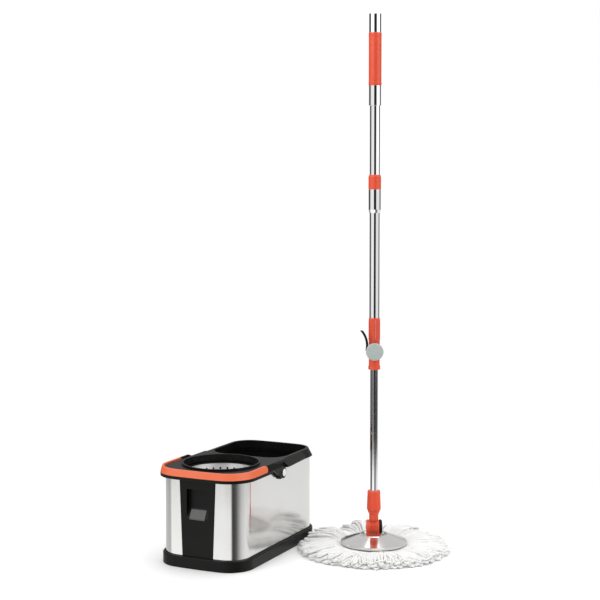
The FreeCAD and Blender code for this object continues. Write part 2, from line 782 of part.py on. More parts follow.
def make_refill():
    fibre = turned("fibre_turned", [
        (d.fibre_hole, 0), (d.fibre_rad - 8, 0), (d.fibre_rad - 2, 4), (d.fibre_rad, 9),
        (d.fibre_rad - 5, 14), (d.fibre_rad - 27, d.fibre_top - 1), (d.dish_rad + 5, d.fibre_top),
        (d.dish_rad + 2.5, d.refill_top - 0.3), (d.refill_rad + 2, d.refill_top - 0.3),
        (d.refill_rad + 0.5, d.refill_low - 0.4), (d.fibre_hole, d.refill_low - 0.4)])
    mop_node(fibre, "microfibre")
    ring = turned("refill_turned", [
        (d.fibre_hole + 3, d.refill_low), (d.refill_rad, d.refill_low), (d.refill_rad, d.refill_top),
        (d.fibre_hole + 3, d.refill_top)])
    mop_node(ring, "refill_ring")


def screw_spots():
    """Where the three plate screws stand round the mop head's centre."""
    turns = [2 * math.pi * step / 3 + math.pi / 2 for step in range(3)]
    return [(d.screw_ring * math.cos(turn), d.screw_ring * math.sin(turn)) for turn in turns]


def screw_holes(name, high):
    """Clearance holes for the plate screws, from the floor up."""
    return [rod("%s_%d" % (name, step), 2.2, 0, high, x=x, y=y) for step,
            (x, y) in enumerate(screw_spots())]


def make_mop_plate():
    spigot = d.fibre_hole + 2
    low = d.refill_low + 0.7
    plate = turned("plate_turned", [
        (7, d.plate_low), (spigot - 8, d.plate_low), (spigot - 8, low), (spigot - 1, low),
        (spigot, low + 1), (spigot, d.plate_low), (d.plate_rad, d.plate_low),
        (d.plate_rad, d.plate_top), (46, d.plate_top), (26, d.dish_seat - d.dish_thick - 0.1),
        (7, d.dish_seat - d.dish_thick - 0.1)])
    mop_node(cut("plate_cut", plate, *screw_holes("plate_hole", 60)), "mop_plate")


def make_steel_dish():
    thick = d.dish_thick
    top = [(7, d.dish_seat), (d.dish_ring - 4, d.dish_seat), (d.dish_ring - 2, d.dish_crown - 1),
           (d.dish_ring - 1, d.dish_crown), (d.dish_ring + 1, d.dish_crown),
           (d.dish_ring + 3, d.dish_crown - 1.6), (d.dish_rad - 5, d.dish_edge_z + 0.9),
           (d.dish_rad - 1, d.dish_edge_z), (d.dish_rad, d.dish_edge_z - 0.8)]
    under = [(d.dish_rad, d.dish_edge_z - 1.5), (d.dish_rad - 1.2, d.dish_edge_z - 1.2),
             (d.dish_rad - 5, d.dish_edge_z - 0.1), (d.dish_ring + 3, d.dish_crown - 2.7),
             (d.dish_ring + 0.6, d.dish_crown - thick), (d.dish_ring - 0.6, d.dish_crown - thick),
             (d.dish_ring - 1.2, d.dish_crown - 1.4), (d.dish_ring - 3.2, d.dish_seat - thick),
             (7, d.dish_seat - thick)]
    mop_node(cut("dish_cut", turned("dish_turned", top + under), *screw_holes("dish_hole", 60)),
             "steel_dish")


def across_x(body, height):
    """Turn a piece drawn about Z onto an axis along X at a height."""
    body.Placement = FreeCAD.Placement(Vec(0, 0, height.value), FreeCAD.Rotation(Y_AXIS, 90))
    bind(body, "Placement.Base.z", height)
    return body


def make_fork():
    """The clevis on the dish: a round hub and two ears for the tilt pin."""
    low = d.dish_seat + 0.1
    hub = turned("hub_turned", [(0, low), (d.hub_rad, low), (d.hub_rad, low + 2),
                                (d.hub_rad - 3, d.hub_top),
                                (0, d.hub_top)])
    ears = []
    spans = (("ear_left", -d.tongue_left - d.joint_gap, -d.ear_out_left),
             ("ear_right", d.tongue_right + d.joint_gap, d.ear_out_right))
    for name, near, far in spans:
        out = 1 if far.value > near.value else -1
        low_x, high_x = (near, far)[::out]
        ears.append(box(name, low_x, high_x, -d.ear_block, d.ear_block, d.hub_top - 1.5, d.tilt_z))
        ears.append(across_x(turned(name + "_eye", [
            (0, near), (d.ear_rad, near), (d.ear_rad, far - 2.6 * out), (d.ear_rad - 0.9, far - 0.8 * out),
            (d.ear_rad - 3, far), (0, far)]), d.tilt_z))
    bore = rod("fork_bore", d.tilt_pin_rad + 0.03, -60, 120, z=d.tilt_z, axis="X")
    holes = screw_holes("hub_hole", low + 3)
    mop_node(cut("fork_cut", fuse("fork_whole", hub, *ears), bore, *holes), "fork_base")
    pin = rod("tilt_pin_bar", d.tilt_pin_rad, -d.ear_out_left + 1, d.ear_out_left + d.knob_out - 3,
              z=d.tilt_z, axis="X")
    mop_node(fuse("tilt_pin_whole", pin, rod("tilt_pin_head", 6.5, -d.ear_out_left - 1.5, 1.5, z=d.tilt_z,
                                             axis="X"),
                  rod("tilt_pin_neck", d.tilt_pin_rad, -d.ear_out_left - 0.5, 2, z=d.tilt_z, axis="X")),
             "tilt_pin")
    near = d.ear_out_right + 0.1
    knob = across_x(turned("knob_disc", [
        (0, near), (d.knob_rad - 1, near), (d.knob_rad, near + 1), (d.knob_rad, near + 3),
        (d.knob_rad - 1.6, d.knob_out - 0.9), (d.knob_rad - 4, d.knob_out), (0, d.knob_out)]), d.tilt_z)
    socket = rod("knob_socket", d.tilt_pin_rad + 0.05, d.ear_out_right - 1,
                 d.knob_out - d.ear_out_right - 0.8,
                 z=d.tilt_z, axis="X")
    mop_node(cut("knob_cut", knob, socket), "tilt_pin_cap")


def make_plate_screws():
    """Three screws, head under the plate, that clamp plate, dish and hub together."""
    screws = []
    for step, (x, y) in enumerate(screw_spots()):
        head = d.plate_low - 2.6
        screws.append(rod("screw_head_%d" % step, 3.8, head, 2.5, x=x, y=y))
        screws.append(rod("screw_shank_%d" % step, 2, head + 1, d.dish_seat + 2.5 - head - 1, x=x, y=y))
    mop_node(fuse("screws_all", *screws), "plate_screws")


# ---------------------------------------------------------------- lower pole

def make_swivel_sleeve():
    barrel = turned("barrel_turned", [
        (0, d.neck_low), (d.neck_rad - 0.6, d.neck_low), (d.neck_rad, d.neck_low + 1),
        (d.neck_rad, d.neck_top),
        (d.sleeve_rad - 1.4, d.sleeve_groove - 5), (d.sleeve_rad - 0.3, d.sleeve_groove - 2),
        (d.sleeve_rad - 0.3, d.sleeve_groove - 1), (d.sleeve_rad - 0.9, d.sleeve_groove - 0.4),
        (d.sleeve_rad - 0.9, d.sleeve_groove + 0.4), (d.sleeve_low_rad, d.sleeve_groove + 1),
        (d.sleeve_low_rad, d.sleeve_groove + 6), (d.sleeve_rad, d.sleeve_top - 2),
        (d.sleeve_rad - 1, d.sleeve_top), (d.inner_rad + d.slip_gap, d.sleeve_top),
        (d.inner_rad + d.slip_gap, d.inner_low - 0.3), (0, d.inner_low - 0.3)])
    tongue = box("tongue_block", -d.tongue_left, d.tongue_right, -d.tongue_half, d.tongue_half,
                 d.tilt_z, d.neck_low + 1)
    eye = rod("tongue_eye", d.ear_rad - 0.5, -d.tongue_left, d.tongue_left + d.tongue_right, z=d.tilt_z,
              axis="X")
    bore = rod("tongue_bore", d.tilt_pin_rad + d.run_gap, -60, 120, z=d.tilt_z, axis="X")
    grooves = []
    for index, x in enumerate((-6.4, -2.2, 2.0)):
        deep = d.ear_rad - 2.6
        over = d.ear_rad + 1
        band = turned("tongue_ring_%d" % index, [(deep, x), (over, x), (over, x + 1.6), (deep, x + 1.6)])
        grooves.append(across_x(band, d.tilt_z))
    rivet = rod("rivet_hole", d.rivet_rad + 0.05, 0, 30, z=d.rivet_z, axis="Y")
    mop_node(cut("sleeve_cut", fuse("sleeve_whole", barrel, tongue, eye), bore, rivet, *grooves),
             "swivel_sleeve")


def make_inner_tube():
    inner = d.inner_rad - d.inner_wall
    tube = turned("inner_turned", [(inner, d.inner_low), (d.inner_rad, d.inner_low),
                                   (d.inner_rad, d.inner_top),
                                   (inner, d.inner_top)])
    hole = rod("inner_hole", d.rivet_rad + 0.05, 0, 30, z=d.rivet_z, axis="Y")
    mop_node(cut("inner_cut", tube, hole), "inner_tube")
    reach = d.sleeve_rad + 1.2
    bar = rod("rivet_bar", d.rivet_rad, inner - 3, reach - inner + 3, z=d.rivet_z, axis="Y")
    head = rod("rivet_back", d.rivet_rad + 1.6, reach - 0.2, 1, z=d.rivet_z, axis="Y")
    mop_node(fuse("rivet_whole", bar, head), "sleeve_rivet")


def twisted_bar(name, wide, thick, low, high):
    """A flat bar twisted about Z; its flats face +Y wherever Z is a whole number of pitches."""
    phase = 2 * math.pi * low / d.rod_pitch.value
    spine = Part.Wire([Part.makeLine(Vec(0, 0, low), Vec(0, 0, high))])
    guide = Part.makeHelix(d.rod_pitch.value, high - low, 20)
    guide.rotate(ORIGIN, Z_AXIS, math.degrees(phase))
    guide.translate(Vec(0, 0, low))
    corners = [(wide / 2, thick / 2), (-wide / 2, thick / 2), (-wide / 2, -thick / 2),
               (wide / 2, -thick / 2)]
    loop = [Vec(x, y, low) for x, y in corners]
    section = Part.makePolygon(loop + [loop[0]])
    section.rotate(ORIGIN, Z_AXIS, math.degrees(phase))
    shell = Part.BRepOffsetAPI.MakePipeShell(spine)
    shell.setAuxiliarySpine(guide, True, 0)
    shell.add(section)
    shell.build()
    shell.makeSolid()
    bar = doc.addObject("Part::Feature", name)
    bar.Shape = shell.shape()
    return bar


def make_drive():
    """The twisted drive rod, the slotted nut that it turns in, and its anchor."""
    rod_bar = twisted_bar("rod_sweep", d.rod_wide.value, d.rod_thick.value, d.rod_low.value,
                          d.rod_top.value)
    mop_node(rod_bar, "twist_rod")
    slack = 0.36
    slot = twisted_bar("nut_slot", d.rod_wide.value + slack, d.rod_thick.value + slack,
                       d.nut_low.value - 2, d.nut_head.value + 2)
    body_rad = d.inner_rad - d.inner_wall - d.slip_gap
    nut = turned("nut_turned", [(0, d.nut_low), (body_rad, d.nut_low), (body_rad, d.inner_top + 0.1),
                                (d.nut_head_rad, d.inner_top + 0.1), (d.nut_head_rad, d.nut_head),
                                (0, d.nut_head)])
    mop_node(cut("nut_cut", nut, slot), "drive_nut")
    bore = 4.4
    plug_rad = d.outer_rad - d.outer_wall - d.slip_gap
    plug = turned("anchor_turned", [(bore, d.anchor_low), (plug_rad, d.anchor_low),
                                    (plug_rad, d.anchor_top),
                                    (bore, d.anchor_top)])
    hole = rod("anchor_hole", 2.1, 0, 30, z=d.anchor_z, axis="X")
    mop_node(cut("anchor_cut", plug, hole), "rod_anchor")
    mop_node(fuse("anchor_screw_whole", rod("anchor_screw_bar", 2, 4.6, 7.4, z=d.anchor_z, axis="X"),
                  rod("anchor_screw_tip", 1.4, 4.5, 1, z=d.anchor_z, axis="X")), "anchor_screw")


def make_guide_bush():
    bore = d.inner_rad + d.run_gap + 0.03
    wide = d.outer_rad - d.outer_wall - d.run_gap - 0.03
    bush = turned("guide_turned", [
        (bore, d.collar_lip + 0.4), (d.outer_rad + 0.8, d.collar_lip + 0.4),
        (d.outer_rad + 0.8, d.outer_low - 0.4), (wide, d.outer_low - 0.4), (wide, d.bush_top),
        (bore, d.bush_top)])
    mop_node(bush, "guide_bush")


# ---------------------------------------------------------------- handle

def make_outer_tube():
    inner = d.outer_rad - d.outer_wall
    tube = turned("outer_turned", [(inner, d.outer_low), (d.outer_rad, d.outer_low),
                                   (d.outer_rad, d.outer_top),
                                   (inner, d.outer_top)])
    hole = rod("outer_hole", 2.1, 0, 30, z=d.anchor_z, axis="X")
    mop_node(cut("outer_cut", tube, hole), "outer_tube")


def make_lock():
    """The lock collar, its cap and pin; the lever that turns between them."""
    bore = d.outer_rad + d.slip_gap
    shell = turned("collar_turned", [
        (d.inner_rad + 0.9, d.collar_low), (d.collar_flange_rad, d.collar_low),
        (d.collar_flange_rad, d.collar_flange - 1), (d.collar_flange_rad - 0.6, d.collar_flange),
        (d.collar_low_rad, d.collar_flange), (d.collar_low_rad, d.collar_step - 20),
        (d.collar_rad, d.collar_step - 14), (d.collar_rad, d.collar_top - 2),
        (d.collar_rad - 0.8, d.collar_top), (bore, d.collar_top), (bore, d.outer_low - 0.3),
        (d.outer_rad + 1.2, d.outer_low - 0.3), (d.outer_rad + 1.2, d.collar_lip),
        (d.inner_rad + 0.9, d.collar_lip)])
    boss = rod("lock_boss", d.lock_boss_rad, -d.lock_boss_out, d.lock_boss_out, z=d.lock_z, axis="Y")
    bore_bar = rod("collar_bore", bore, d.outer_low - 0.3, 200)
    pin_hole = rod("collar_pin_hole", d.lock_pin_rad + 0.03, -60, 60, z=d.lock_z, axis="Y")
    ribs = []
    for step in range(12):
        angle = 2 * math.pi * step / 12
        rib = box("rib_%d" % step, d.collar_rad - 0.8, d.collar_rad + 0.5, -0.9, 0.9,
                  d.collar_step + 12, d.collar_top - 6)
        rib.Placement = FreeCAD.Placement(ORIGIN,
                                          FreeCAD.Rotation(Z_AXIS, math.degrees(angle))) * rib.Placement
        bind(rib, "Placement.Base.x", (d.collar_rad - 0.8) * math.cos(angle) + 0.9 * math.sin(angle))
        bind(rib, "Placement.Base.y", (d.collar_rad - 0.8) * math.sin(angle) - 0.9 * math.cos(angle))
        ribs.append(rib)
    slit = box("collar_slit", 0, 20, -d.slit_half, d.slit_half, d.collar_step + 12, d.collar_top - 5)
    slit_turn = math.radians(d.slit_turn.value)
    slit.Placement = FreeCAD.Placement(ORIGIN,
                                       FreeCAD.Rotation(Z_AXIS, d.slit_turn.value)) * slit.Placement
    bind(slit, "Placement.Base.x", d.slit_half * math.sin(slit_turn))
    bind(slit, "Placement.Base.y", d.slit_half * -math.cos(slit_turn))
    whole = fuse("collar_whole", shell, cut("boss_shell", boss, bore_bar), *ribs)
    mop_node(cut("collar_cut", whole, pin_hole, slit), "lock_collar")
    pin_in = d.outer_rad + 0.4
    mop_node(fuse("lock_pin_whole",
                  rod("lock_pin_bar", d.lock_pin_rad, -(d.lock_cap_in + 1.5), d.lock_cap_in + 1.5 - pin_in,
                      z=d.lock_z, axis="Y"),
                  rod("lock_pin_tip", d.lock_pin_rad - 0.6, -(d.lock_cap_in + 1.65), 1, z=d.lock_z,
                      axis="Y")),
             "lever_pin")
    cap = turned("lock_cap_turned", [
        (0, d.lock_cap_in), (d.lock_cap_rad - 0.4, d.lock_cap_in), (d.lock_cap_rad, d.lock_cap_in + 0.6),
        (d.lock_cap_rad, d.lock_cap_in + 1.5), (d.lock_face_rad + 0.3, d.lock_cap_out - 0.9),
        (d.lock_face_rad, d.lock_cap_out - 0.4), (d.lock_face_rad - 0.7, d.lock_cap_out),
        (0, d.lock_cap_out)])
    cap.Placement = FreeCAD.Placement(Vec(0, 0, d.lock_z.value), FreeCAD.Rotation(X_AXIS, 90))
    bind(cap, "Placement.Base.z", d.lock_z)
    socket = rod("cap_socket", d.lock_pin_rad + 0.05, -(d.lock_cap_in + 1.7), 4, z=d.lock_z, axis="Y")
    mop_node(cut("lock_cap_cut", cap, socket), "lock_cap")


def make_lock_lever():
    """A disc about the lock pin with a tail that curves up and away from the tube."""
    start = -d.lever_out
    thick = d.lever_out - d.lever_in
    outer = rod("tail_outer", d.tail_rad, start, thick, x=-d.tail_x, z=d.lock_z + d.tail_rise, axis="Y")
    inner = rod("tail_inner", d.tail_rad - d.tail_thick, start - 1, thick + 2, x=-d.tail_x - 1.5,
                z=d.lock_z + d.tail_rise + 0.5, axis="Y")
    keep = box("tail_keep", -d.tail_x + 36, 0, start, start + thick, d.lock_z + 3, d.lock_z + d.tail_high)
    tail = common("tail", cut("tail_crescent", outer, inner), keep)
    disc = rod("lever_disc", d.lever_rad, start, thick, z=d.lock_z, axis="Y")
    bore = rod("lever_bore", d.lock_pin_rad + d.run_gap, -60, 60, z=d.lock_z, axis="Y")
    mop_node(cut("lever_cut", fuse("lever_whole", disc, tail), bore), "lock_lever")


def make_upper_pole():
    gap = d.slip_gap
    bore = d.outer_rad + gap
    wall = d.outer_wall
    socket = turned("socket_turned", [
        (bore, d.socket_low), (bore + 0.7, d.socket_low), (d.socket_rad, d.socket_neck),
        (d.socket_rad, d.socket_top),
        (d.socket_rad - wall, d.socket_top), (d.socket_rad - wall, d.socket_neck + 1),
        (bore, d.socket_low + 3)])
    mop_node(socket, "socket_tube")
    insert_rad = d.socket_rad - wall - gap
    inside = d.outer_rad - wall - gap
    insert = turned("insert_turned", [
        (d.insert_bore, d.outer_top + 1), (insert_rad, d.outer_top + 1), (insert_rad, d.socket_top - 0.2),
        (inside, d.socket_top - 0.2), (inside, d.insert_top), (d.insert_bore, d.insert_top)])
    mop_node(insert, "joint_insert")
    low = d.socket_top + 0.2
    coupling = turned("coupling_turned", [
        (bore, low), (d.coupling_rad - 0.5, low), (d.coupling_rad, low + 0.8),
        (d.coupling_rad, d.coupling_top - 5),
        (d.coupling_rad - 1.4, d.coupling_top - 1), (d.coupling_rad - 2, d.coupling_top),
        (bore, d.coupling_top)])
    mop_node(coupling, "coupling_collar")
    inner = d.outer_rad - wall
    middle = turned("middle_turned", [(inner, low), (d.outer_rad, low), (d.outer_rad, d.middle_top),
                                      (inner, d.middle_top)])
    mop_node(middle, "middle_tube")
    handle_in = d.handle_rad - wall
    upper = turned("upper_insert_turned", [
        (bore, d.handle_low - 0.5), (d.handle_rad - 0.2, d.handle_low - 0.5),
        (d.handle_rad - 0.2, d.handle_low - 0.1),
        (handle_in - gap, d.handle_low - 0.1), (handle_in - gap, d.middle_top - 2),
        (bore, d.middle_top - 2)])
    mop_node(upper, "upper_insert")
    tube = turned("handle_turned", [(handle_in, d.handle_low), (d.handle_rad, d.handle_low),
                                    (d.handle_rad, d.handle_top), (handle_in, d.handle_top)])
    mop_node(tube, "handle_tube")
    grip_in = d.handle_rad + gap
    grip = turned("grip_turned", [
        (grip_in, d.grip_low), (d.grip_rad - 0.4, d.grip_low), (d.grip_rad, d.grip_low + 2),
        (d.grip_rad, d.grip_low + 8), (d.grip_rad - 0.3, d.grip_low + 10),
        (d.grip_rad - 0.3, d.grip_top - 10),
        (d.grip_rad, d.grip_top - 8), (d.grip_rad, d.grip_top - 1.5), (d.grip_rad - 0.6, d.grip_top),
        (grip_in, d.grip_top)])
    mop_node(grip, "grip_sleeve")
    plug_rad = handle_in - gap
    plug = turned("top_cap_turned", [
        (0, d.plug_low), (plug_rad, d.plug_low), (plug_rad, d.handle_top + 0.1),
        (d.handle_rad, d.handle_top + 0.1),
        (d.handle_rad, d.plug_top - 0.8), (d.handle_rad - 1, d.plug_top), (0, d.plug_top)])
    mop_node(plug, "top_cap")


# ---------------------------------------------------------------- build, test, write

def check_model():
    """Stop if any object failed or any piece is null, invalid or not a plain solid."""
    faults = []
    for thing in doc.Objects:
        for word in ("Invalid", "Error"):
            if word in thing.State:
                faults.append("%s: %s" % (thing.Name, word))
    for piece in nodes:
        shape = piece.Shape
        if shape.isNull() or not shape.isValid() or not shape.Solids:
            faults.append("%s: no valid solid" % piece.Label)
    if faults:
        raise RuntimeError("; ".join(faults))


def write_parts():
    os.makedirs("parts", exist_ok=True)
    for piece in nodes:
        piece.Shape.exportStep("parts/%s.step" % piece.Label)
        room = piece.Shape.BoundBox
        print("%-16s solids %d volume %9.1f z %7.1f..%7.1f" % (
            piece.Label, len(piece.Shape.Solids), piece.Shape.Volume, room.ZMin, room.ZMax))


make_base_tray()
make_inner_tub()
make_steel_skin()
make_front_panel()
make_badge_plate()
make_top_deck()
make_pivots()
make_basket_post()
make_bail()
make_basket()
make_refill()
make_mop_plate()
make_steel_dish()
make_fork()
make_plate_screws()
make_swivel_sleeve()
make_inner_tube()
make_drive()
make_guide_bush()
make_outer_tube()
make_lock()
make_lock_lever()
make_upper_pole()
doc.recompute()
check_model()
write_parts()
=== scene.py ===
"""Looks of the spin mop and its wringing bucket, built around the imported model."""
import json
import math
import random

import bpy
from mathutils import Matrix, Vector


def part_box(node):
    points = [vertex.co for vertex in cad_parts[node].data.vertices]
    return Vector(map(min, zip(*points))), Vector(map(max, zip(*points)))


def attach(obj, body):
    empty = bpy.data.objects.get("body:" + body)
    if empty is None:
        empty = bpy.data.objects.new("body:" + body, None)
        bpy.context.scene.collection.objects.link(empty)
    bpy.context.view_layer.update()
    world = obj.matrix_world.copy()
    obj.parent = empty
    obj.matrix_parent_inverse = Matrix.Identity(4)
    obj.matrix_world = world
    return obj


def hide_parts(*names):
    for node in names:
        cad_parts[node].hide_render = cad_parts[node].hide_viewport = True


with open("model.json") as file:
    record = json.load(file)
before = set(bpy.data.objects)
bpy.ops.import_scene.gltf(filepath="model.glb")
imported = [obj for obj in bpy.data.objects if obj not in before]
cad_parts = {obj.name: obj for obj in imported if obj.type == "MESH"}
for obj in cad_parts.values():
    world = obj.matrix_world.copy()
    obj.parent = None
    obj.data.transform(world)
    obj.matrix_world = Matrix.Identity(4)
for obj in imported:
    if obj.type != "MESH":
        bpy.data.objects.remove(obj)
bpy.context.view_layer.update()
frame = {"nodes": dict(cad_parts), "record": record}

NODES = frame["nodes"]
SCENE = bpy.context.scene

# ---------------------------------------------------------------- viewpoint

VIEW_AZIMUTH = math.radians(25.8)      # how far round the camera stands from the bucket's front
EYE = Vector((1.6207, -3.0196, 0.914))
EYE_PITCH = math.radians(3.264)
LENS_MM = 85.78
FRAME_SHIFT = -0.08


def make_camera():
    data = bpy.data.cameras.new("studio_camera")
    data.lens = LENS_MM
    data.sensor_width = 36.0
    data.shift_y = FRAME_SHIFT
    data.clip_end = 50.0
    camera = bpy.data.objects.new("studio_camera", data)
    camera.location = EYE
    camera.rotation_euler = (math.pi / 2 - EYE_PITCH, 0.0, VIEW_AZIMUTH)
    SCENE.collection.objects.link(camera)
    SCENE.camera = camera


make_camera()
SCENE.view_settings.view_transform = "Standard"

# ---------------------------------------------------------------- where things are, from the CAD

FIBRE_LOW, FIBRE_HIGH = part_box("microfibre")
MOP_X = (FIBRE_LOW.x + FIBRE_HIGH.x) / 2
MOP_Y = (FIBRE_LOW.y + FIBRE_HIGH.y) / 2
FIBRE_REACH = (FIBRE_HIGH.x - FIBRE_LOW.x) / 2
TRAY_LOW, TRAY_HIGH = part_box("base_tray")

# ---------------------------------------------------------------- shader helpers


def add(tree, kind, inputs=None, **settings):
    """Add a shader node; an input that is a socket is linked and any other value is set."""
    node = tree.nodes.new("ShaderNode" + kind)
    for key, value in settings.items():
        setattr(node, key, value)
    for key, value in (inputs or {}).items():
        if isinstance(value, bpy.types.NodeSocket):
            tree.links.new(value, node.inputs[key])
        else:
            node.inputs[key].default_value = value
    return node


def math_node(tree, operation, first, second=0.0, clamp=False):
    return add(tree, "Math", {0: first, 1: second}, operation=operation, use_clamp=clamp).outputs[0]


def mix_colour(tree, share, first, second, blend="MIX"):
    node = add(tree, "Mix", data_type="RGBA", blend_type=blend)
    for socket, value in ((node.inputs["Factor"], share), (node.inputs[6], first), (node.inputs[7], second)):
        if isinstance(value, bpy.types.NodeSocket):
            tree.links.new(value, socket)
        else:
            socket.default_value = value
    return node.outputs[2]


def new_group(name, inputs, outputs):
    """A shader node group with named sockets; hands back its tree, its inputs and its output node."""
    tree = bpy.data.node_groups.new(name, "ShaderNodeTree")
    for label, kind, value in inputs:
        socket = tree.interface.new_socket(name=label, in_out="INPUT", socket_type="NodeSocket" + kind)
        socket.default_value = value
    for label, kind in outputs:
        tree.interface.new_socket(name=label, in_out="OUTPUT", socket_type="NodeSocket" + kind)
    start = tree.nodes.new("NodeGroupInput")
    end = tree.nodes.new("NodeGroupOutput")
    return tree, start.outputs, end.inputs


def use_group(tree, group, inputs=None):
    node = tree.nodes.new("ShaderNodeGroup")
    node.node_tree = group
    for key, value in (inputs or {}).items():
        if isinstance(value, bpy.types.NodeSocket):
            tree.links.new(value, node.inputs[key])
        else:
            node.inputs[key].default_value = value
    return node.outputs


# ---------------------------------------------------------------- shared effects

def make_edge_wear():
    """Rubbed corners: a rounded normal, and a mask that is brighter where the surface turns sharply."""
    tree, given, out = new_group(
        "edge_wear",
        [("Radius", "Float", 0.0008), ("Gain", "Float", 3.0), ("Patch Scale", "Float", 90.0)],
        [("Mask", "Float"), ("Normal", "Vector")])
    rounded = add(tree, "Bevel", {"Radius": given["Radius"]}, samples=8)
    flat = add(tree, "NewGeometry").outputs["Normal"]
    agree = add(tree, "VectorMath", {0: rounded.outputs[0], 1: flat}, operation="DOT_PRODUCT")
    turn = math_node(tree, "SUBTRACT", 1.0, agree.outputs["Value"])
    strong = math_node(tree, "MULTIPLY", turn, given["Gain"], clamp=True)
    place = add(tree, "TexCoord").outputs["Object"]
    patches = add(tree, "TexNoise", {"Vector": place, "Scale": given["Patch Scale"], "Detail": 3.0})
    tree.links.new(math_node(tree, "MULTIPLY", strong, patches.outputs["Fac"], clamp=True), out["Mask"])
    tree.links.new(rounded.outputs[0], out["Normal"])
    return tree


def make_moulded_grain():
    """Fine pitted grain of a mould with broad cloudy tone."""
    tree, given, out = new_group(
        "moulded_grain", [("Grain Scale", "Float", 900.0), ("Cloud Scale", "Float", 14.0)],
        [("Height", "Float"), ("Cloud", "Float")])
    place = add(tree, "TexCoord").outputs["Object"]
    fine = add(tree, "TexNoise", {"Vector": place, "Scale": given["Grain Scale"], "Detail": 2.0})
    cloud = add(tree, "TexNoise", {"Vector": place, "Scale": given["Cloud Scale"], "Detail": 4.0})
    tree.links.new(fine.outputs["Fac"], out["Height"])
    tree.links.new(cloud.outputs["Fac"], out["Cloud"])
    return tree


def make_drawn_lines():
    """Fine lines drawn along a metal, from noise that is stretched by the given scales."""
    tree, given, out = new_group(
        "drawn_lines", [("Scales", "Vector", (8.0, 8.0, 900.0)), ("Smudge Scale", "Float", 11.0)],
        [("Height", "Float"), ("Smudge", "Float")])
    place = add(tree, "TexCoord").outputs["Object"]
    stretched = add(tree, "VectorMath", {0: place, 1: given["Scales"]}, operation="MULTIPLY").outputs[0]
    lines = add(tree, "TexNoise", {"Vector": stretched, "Scale": 1.0, "Detail": 3.0, "Roughness": 0.6})
    smudge = add(tree, "TexNoise", {"Vector": place, "Scale": given["Smudge Scale"], "Detail": 5.0})
    tree.links.new(lines.outputs["Fac"], out["Height"])
    tree.links.new(smudge.outputs["Fac"], out["Smudge"])
    return tree


def make_settled_dust():
    """Dust on faces that look up, in noisy patches."""
    tree, given, out = new_group("settled_dust", [("Amount", "Float", 0.1)], [("Dust", "Float")])
    upward = add(tree, "SeparateXYZ", {0: add(tree, "NewGeometry").outputs["Normal"]}).outputs["Z"]
    flat = add(tree, "MapRange", {"Value": upward, "From Min": 0.6, "From Max": 1.0}).outputs[0]
    place = add(tree, "TexCoord").outputs["Object"]
    patch = add(tree, "TexNoise", {"Vector": place, "Scale": 45.0, "Detail": 6.0, "Roughness": 0.7})
    spread = add(tree, "MapRange", {"Value": patch.outputs["Fac"], "From Min": 0.35, "From Max": 0.75})
    settled = math_node(tree, "MULTIPLY", flat, spread.outputs[0])
    amount = math_node(tree, "MULTIPLY", settled, given["Amount"], clamp=True)
    tree.links.new(amount, out["Dust"])
    return tree


EDGE_WEAR = make_edge_wear()
MOULDED_GRAIN = make_moulded_grain()
DRAWN_LINES = make_drawn_lines()
SETTLED_DUST = make_settled_dust()
DUST_COLOUR = (0.42, 0.40, 0.37, 1.0)


def new_material(name):
    material = bpy.data.materials.new(name)
    material.use_nodes = True
    tree = material.node_tree
    return material, tree, tree.nodes["Principled BSDF"].inputs


def plastic(name, colour, shade, rubbed, roughness, grain=0.00005, edge=0.0008, dust=0.0, coat=0.0,
            metallic=0.0, shine=0.5):
    """Moulded plastic: mottled colour, pitted grain, rubbed corners and a little dust."""
    material, tree, bsdf = new_material(name)
    grains = use_group(tree, MOULDED_GRAIN)
    wear = use_group(tree, EDGE_WEAR, {"Radius": edge})
    cloud = add(tree, "MapRange", {"Value": grains["Cloud"], "From Min": 0.3, "From Max": 0.7}).outputs[0]
    base = mix_colour(tree, cloud, (*colour, 1.0), (*shade, 1.0))
    edged = mix_colour(tree, wear["Mask"], base, (*rubbed, 1.0))
    dusty = use_group(tree, SETTLED_DUST, {"Amount": dust})["Dust"]
    tree.links.new(mix_colour(tree, dusty, edged, DUST_COLOUR), bsdf["Base Color"])
    rough = math_node(tree, "MULTIPLY_ADD", grains["Cloud"], 0.16)
    rough.node.inputs[2].default_value = roughness - 0.08
    dulled = math_node(tree, "MULTIPLY_ADD", dusty, 0.4, clamp=True)
    tree.links.new(rough, dulled.node.inputs[2])
    tree.links.new(dulled, bsdf["Roughness"])
    bump = add(tree, "Bump", {"Strength": 0.3, "Distance": grain, "Height": grains["Height"],
                              "Normal": wear["Normal"]})
    tree.links.new(bump.outputs[0], bsdf["Normal"])
    bsdf["Metallic"].default_value = metallic
    bsdf["Specular IOR Level"].default_value = shine
    bsdf["Coat Weight"].default_value = coat
    bsdf["Coat Roughness"].default_value = 0.12
    return material


def metal(name, colour, tint, roughness, scales, depth=0.00002, spread=0.08, edge=0.0004):
    """Bare or plated metal: drawn lines, smudged gloss and softened edges."""
    material, tree, bsdf = new_material(name)
    lines = use_group(tree, DRAWN_LINES, {"Scales": scales})
    wear = use_group(tree, EDGE_WEAR, {"Radius": edge})
    tree.links.new(mix_colour(tree, lines["Smudge"], (*colour, 1.0), (*tint, 1.0)), bsdf["Base Color"])
    rough = math_node(tree, "MULTIPLY_ADD", lines["Smudge"], spread, clamp=True)
    rough.node.inputs[2].default_value = roughness - spread / 2
    tree.links.new(rough, bsdf["Roughness"])
    bump = add(tree, "Bump", {"Strength": 0.4, "Distance": depth, "Height": lines["Height"],
                              "Normal": wear["Normal"]})
    tree.links.new(bump.outputs[0], bsdf["Normal"])
    bsdf["Metallic"].default_value = 1.0
    return material


